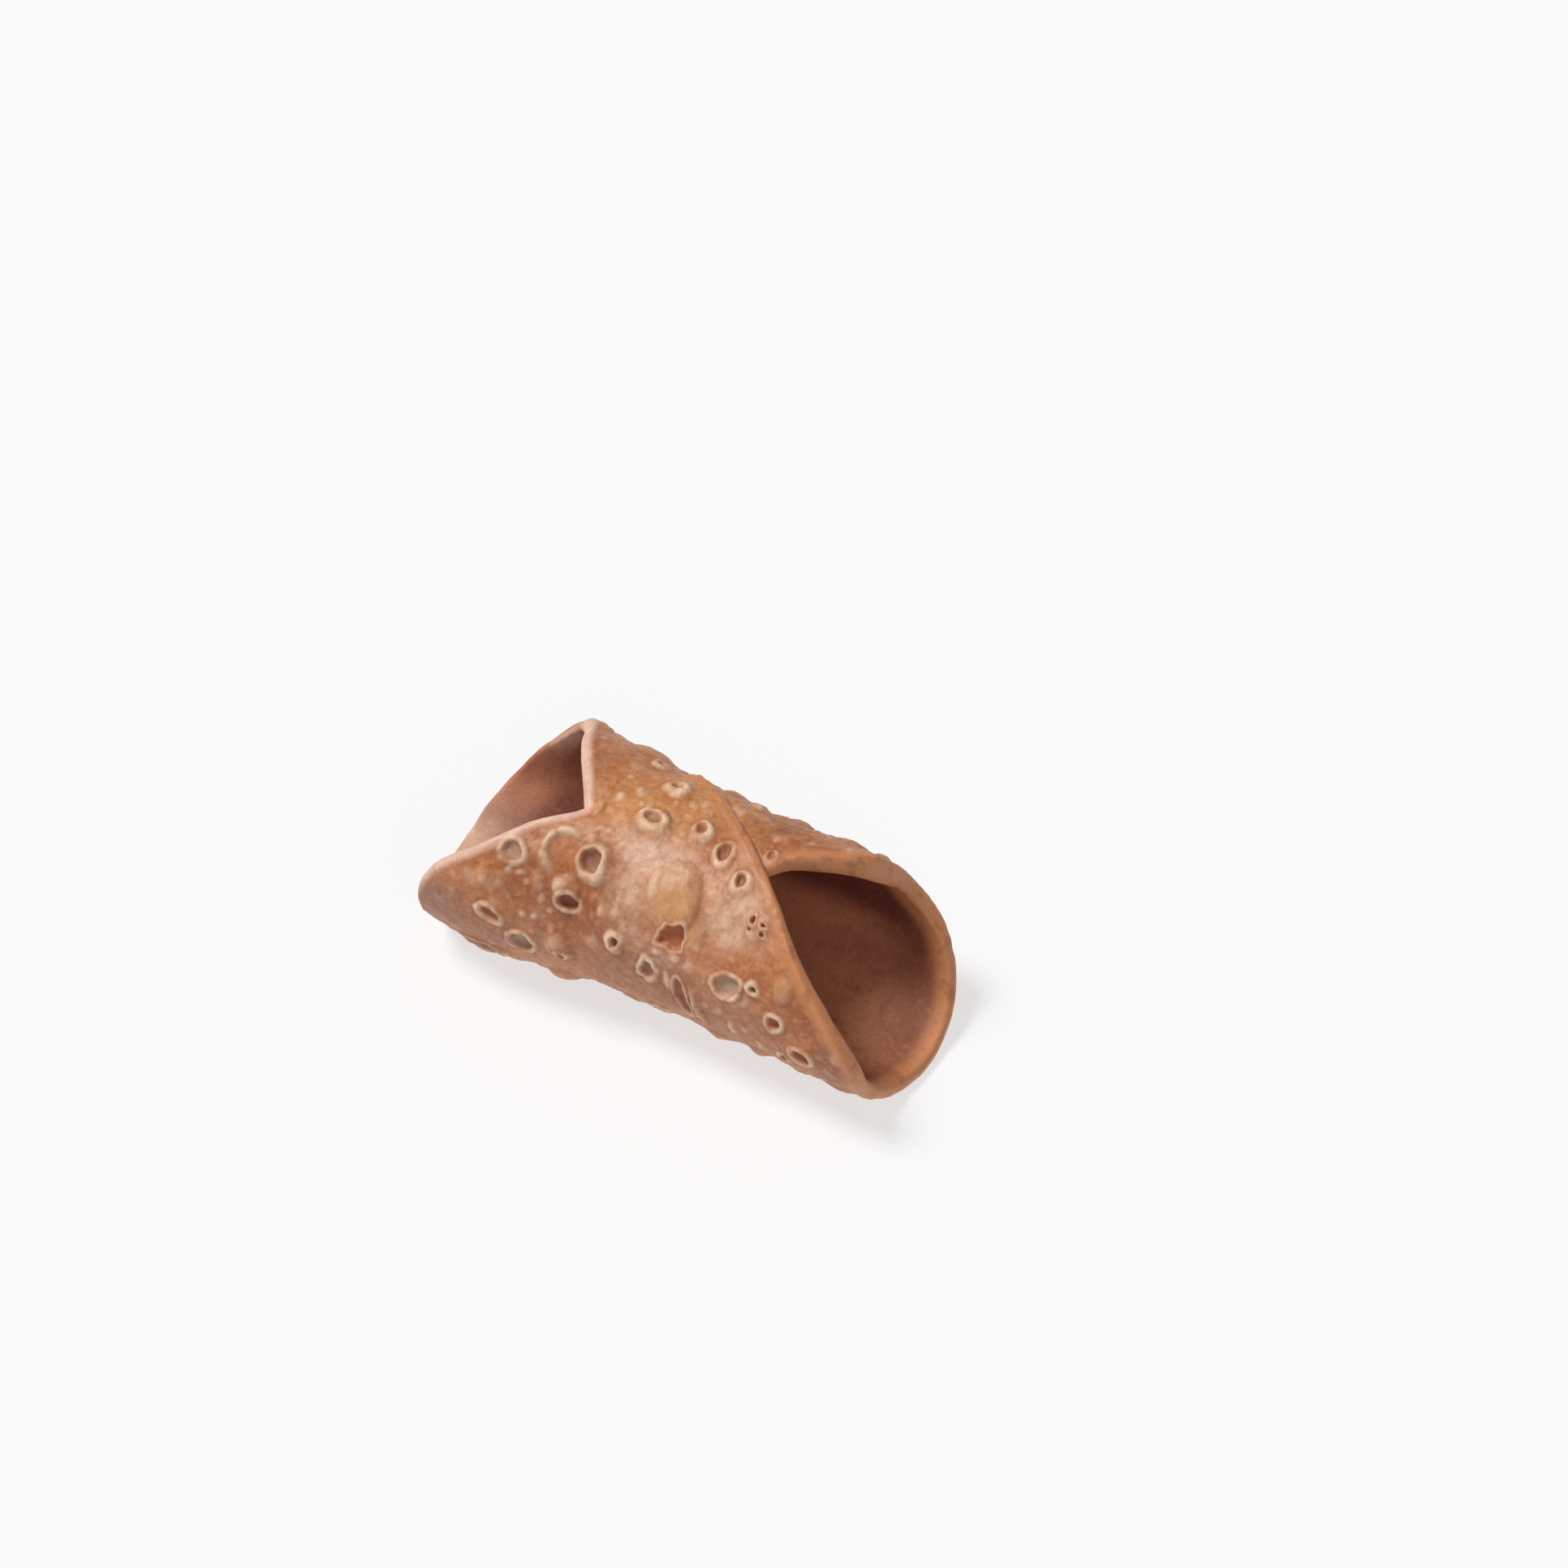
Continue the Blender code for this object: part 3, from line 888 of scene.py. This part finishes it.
def crustNoise(crust):
    where = crust.add("ShaderNodeTexCoord", out="Object")
    made = {}
    for name, (size, detail, rough, shift) in grains.items():
        moved = crust.add("ShaderNodeMapping", None, {"Vector": where, "Location": (shift, 0, 0)})
        made[name] = crust.add("ShaderNodeTexNoise", {"noise_dimensions": "3D"},
                               {"Vector": moved, "Scale": 1.0 / (size * mm), "Detail": detail,
                                "Roughness": rough})
    return made


def skinColor(crust, speckle):
    # the skin between the blisters
    spec = crustFinish
    cloud, mottle, grain = speckle["cloud"], speckle["mottle"], speckle["grain"]
    uneven = (cloud - 0.5) * 0.8 + (mottle - 0.5) * 1.2 + (grain - 0.5) * 0.5
    ochre = (crust.attribute("ochre") + uneven * 0.8).limited()
    color = crust.mix(ochre, spec["base"], spec["ochre"])
    # paler dough, with a painted sheen on the near side's middle
    color = crust.mix((crust.attribute("paleDoughAndSheen") + uneven * 0.8).limited(), color, spec["paleDoughAndSheen"])
    # greyer dough, with a painted reflection of the pale floor low on the near side
    color = crust.mix((crust.attribute("greyDoughAndFloorReflection") - uneven * 0.5).limited(), color, spec["greyDoughAndFloorReflection"])
    toasted = crust.attribute("toast") + (0.5 - mottle) * 1.8 + (0.5 - cloud) * 0.8
    color = crust.mix((toasted * 0.85).limited(), color, spec["toast"])
    specks = crust.step(grain, 0.54, 0.70) * crust.step(toasted, -0.2, 0.6)
    color = crust.mix(specks * 0.65, color, spec["speck"])
    color = crust.mix(crust.step(mottle, 0.48, 0.28) * 0.35, color, spec["fleck"])
    color = crust.mix(crust.step(speckle["freckle"], 0.50, 0.26) * 0.17, color, spec["fleck"])
    return crust.mix(crust.step(speckle["freckle"], 0.52, 0.74) * 0.26, color, spec["toast"])


def blisterColor(crust, speckle, color):
    # thin yellow skin, pale bumps, open bottoms and cream rims, with painted shade and some browning
    # at the foot of domes and rims
    spec = crustFinish
    cloud, mottle = speckle["cloud"], speckle["mottle"]
    color = crust.mix(crust.attribute("dome") * (0.30 + mottle * 0.6), color, spec["dome"])
    # pale bumps; two of them are painted highlights on domes
    color = crust.mix(crust.attribute("bump") * 0.7, color, spec["bump"])
    color = crust.mix(crust.attribute("footShadeAndBrowning") * (0.15 + cloud * 0.6), color, spec["footShadeAndBrowning"])
    tone = (crust.attribute("tone") + (mottle - 0.5) * 0.6).limited()
    bottom = crust.mix(crust.step(tone, 0.0, 0.5), spec["floorPale"], spec["floorBrown"])
    bottom = crust.mix(crust.step(tone, 0.45, 0.95), bottom, spec["floorRed"])
    color = crust.mix(crust.attribute("pit"), color, bottom)
    broken = 0.26 + crust.step(speckle["break"], 0.30, 0.62) * 0.62
    return crust.mix(crust.attribute("ring") * broken, color, spec["cream"])


def insideColor(crust, speckle):
    # the inside, with painted light by the rims and painted shade in its far corners
    spec = crustFinish
    cloud, mottle, grain = speckle["cloud"], speckle["mottle"], speckle["grain"]
    deep = (crust.attribute("deep") + (0.5 - mottle) * 1.1 + (0.5 - cloud) * 0.6).limited()
    color = crust.mix(deep, spec["insideBrown"], spec["insideDark"])
    # painted shade in the inside's far corners, broken up by mottles
    paintedShadeAndMottle = crust.attribute("paintedShadeAndMottle") * (0.85 + (0.5 - mottle) * 1.5 + (0.5 - cloud) * 0.8)
    paintedShadeAndMottle = paintedShadeAndMottle.limited()
    color = crust.mix(paintedShadeAndMottle, color, spec["paintedShadeAndMottle"])
    # painted light on the inside
    color = crust.mix(crust.attribute("insidePaintedLight") * (0.75 + mottle * 0.5), color, spec["insidePaintedLightColor"])
    color = crust.mix(crust.step(mottle, 0.50, 0.72) * 0.35, color, spec["paintedShadeAndMottle"])
    color = crust.mix(crust.step(grain, 0.52, 0.68) * 0.30, color, spec["paintedShadeAndMottle"])
    paler = crust.step(speckle["freckle"], 0.50, 0.26) * (0.12 - paintedShadeAndMottle * 0.12)
    color = crust.mix(paler, color, spec["insidePaleAndPaintedLight"])
    edge = (crust.attribute("edge") * (0.4 + cloud)).limited()
    color = crust.mix(edge, color, spec["insideEdge"])
    # painted light by the left rim
    paintedLightLeftRim = (crust.attribute("paintedLightLeftRim") * (0.3 + mottle * 1.3)).limited()
    return crust.mix(paintedLightLeftRim, color, spec["insidePaleAndPaintedLight"])


def rimColor(crust, speckle, color):
    # the cut edges, browned in places at the right end
    spec = crustFinish
    mottle, grain = speckle["mottle"], speckle["grain"]
    right = crust.attribute("cutRight")
    color = crust.mix(right * (0.5 + mottle * 0.7).limited(), color, spec["cutRight"])
    color = crust.mix(right * crust.step(mottle, 0.50, 0.68) * 0.5, color, spec["toast"])
    color = crust.mix(right * crust.step(grain, 0.50, 0.32) * 0.3, color, spec["fleck"])
    left = crust.attribute("cutLeft")
    return crust.mix(left * (0.6 + mottle * 0.5).limited(), color, spec["cutLeft"])


def crustMaterial():
    crust = Finish("friedCrust")
    speckle = crustNoise(crust)
    mottle, grain, fine = speckle["mottle"], speckle["grain"], speckle["fine"]
    inside = crust.attribute("inside")
    color = blisterColor(crust, speckle, skinColor(crust, speckle))
    color = crust.mix(inside, color, insideColor(crust, speckle))
    color = rimColor(crust, speckle, color)
    color = crust.shade(color, grain * 0.44 + fine * 0.24 + 0.66)

    roughness = mottle * 0.2 + inside * 0.2 + 0.38
    normal = crust.add("ShaderNodeBump", None, {"Strength": 0.6, "Distance": 0.2 * mm,
                                               "Height": grain * 0.7 + fine * 0.5}, out="Normal")
    skin = crust.add("ShaderNodeBsdfPrincipled", None,
                     {"Base Color": color, "Roughness": roughness, "Normal": normal,
                      "Specular IOR Level": 0.4}, out="BSDF")
    crust.add("ShaderNodeOutputMaterial", None, {"Surface": skin})
    return crust.material


def makeCrust():
    bm = buildSheet()
    near = [crater for crater in craters if crater[0] > fineCells["fromNear"]]

    def aroundBurst(angle, along):
        return nearCraters(craters, *fineCells["allBand"], angle, along)

    refine(bm, lambda angle, along: ~deepUnder(angle, along))
    refine(bm, lambda angle, along: facesViewer(angle, along) | aroundBurst(angle, along))
    refine(bm, lambda angle, along: nearCraters(near, *fineCells["nearBand"], angle, along))
    print("triangles:", sum(len(face.verts) - 2 for face in bm.faces))
    mesh = bpy.data.meshes.new("crust")
    bm.to_mesh(mesh)
    bm.free()
    shapeSkin(mesh)
    mesh.shade_smooth()
    mesh.materials.append(crustMaterial())
    crust = bpy.data.objects.new("crust", mesh)
    bpy.context.collection.objects.link(crust)
    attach(crust, "root")
    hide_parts("shell")


makeCrust()
print("crust shaped")

# where the onlooker stands
view = {
    "azimuth": 29.2,
    "elevation": 48.0,
    "distance": 0.9,           # metres
    "lens": 113.0,
    "sensor": 36.0,
    "aimRight": 17.94,         # what the camera aims at, in mm from the tube's middle
    "aimUp": 20.63,
}


def placeCamera():
    azimuth = math.radians(view["azimuth"])
    elevation = math.radians(view["elevation"])
    flatShare = math.cos(elevation)
    back = Vector((math.sin(azimuth) * flatShare, -math.cos(azimuth) * flatShare,
                   math.sin(elevation)))
    right = Vector((math.cos(azimuth), math.sin(azimuth), 0.0))
    up = back.cross(right)
    middle = Vector((sheet["middle"], 0.0, sheet["radius"] - sheet["flat"]))
    aim = (middle + right * view["aimRight"] + up * view["aimUp"]) * mm
    lens = bpy.data.cameras.new("camera")
    lens.lens = view["lens"]
    lens.sensor_width = view["sensor"]
    camera = bpy.data.objects.new("camera", lens)
    camera.location = aim + back * view["distance"]
    camera.rotation_euler = back.to_track_quat("Z", "Y").to_euler()
    bpy.context.collection.objects.link(camera)
    bpy.context.scene.camera = camera


placeCamera()
print("camera placed")

studio = {
    "floorSize": 3.0,          # metres
    "floorColor": (0.30, 0.30, 0.30, 1.0),
    "floorGlow": 0.65,
    "sunFrom": (-0.44, -0.14, 0.88),
    "sunPower": 2.6,
    "sunSoftness": 20.0,
    "fillFrom": (0.52, -0.62, 0.58),
    "fillPower": 0.35,
    "fillSoftness": 40.0,
    "world": 0.22,
}


def hangLamp(name, origin, power, softness):
    lamp = bpy.data.lights.new(name, "SUN")
    lamp.energy = power
    lamp.angle = math.radians(softness)
    holder = bpy.data.objects.new(name, lamp)
    holder.rotation_euler = Vector(origin).to_track_quat("Z", "Y").to_euler()
    bpy.context.collection.objects.link(holder)


def lightStudio():
    hangLamp("key", studio["sunFrom"], studio["sunPower"], studio["sunSoftness"])
    hangLamp("fill", studio["fillFrom"], studio["fillPower"], studio["fillSoftness"])
    world = bpy.data.worlds.new("studio")
    world.use_nodes = True
    sky = world.node_tree.nodes["Background"]
    sky.inputs["Color"].default_value = (1.0, 1.0, 1.0, 1.0)
    sky.inputs["Strength"].default_value = studio["world"]
    bpy.context.scene.world = world
    bpy.context.scene.view_settings.view_transform = "Standard"


def layFloor():
    # a pale table that glows a little, as paper lit from below does
    mesh = bpy.data.meshes.new("floor")
    bm = bmesh.new()
    bmesh.ops.create_grid(bm, x_segments=1, y_segments=1, size=studio["floorSize"] / 2.0)
    bm.to_mesh(mesh)
    bm.free()
    floor = bpy.data.objects.new("floor", mesh)
    bpy.context.collection.objects.link(floor)
    paper = Finish("paper")
    surface = paper.add("ShaderNodeBsdfPrincipled", None,
                        {"Base Color": studio["floorColor"], "Roughness": 0.9,
                         "Specular IOR Level": 0.0, "Emission Color": (1.0, 1.0, 1.0, 1.0),
                         "Emission Strength": studio["floorGlow"]}, out="BSDF")
    paper.add("ShaderNodeOutputMaterial", None, {"Surface": surface})
    mesh.materials.append(paper.material)


lightStudio()
layFloor()
print("studio lit")
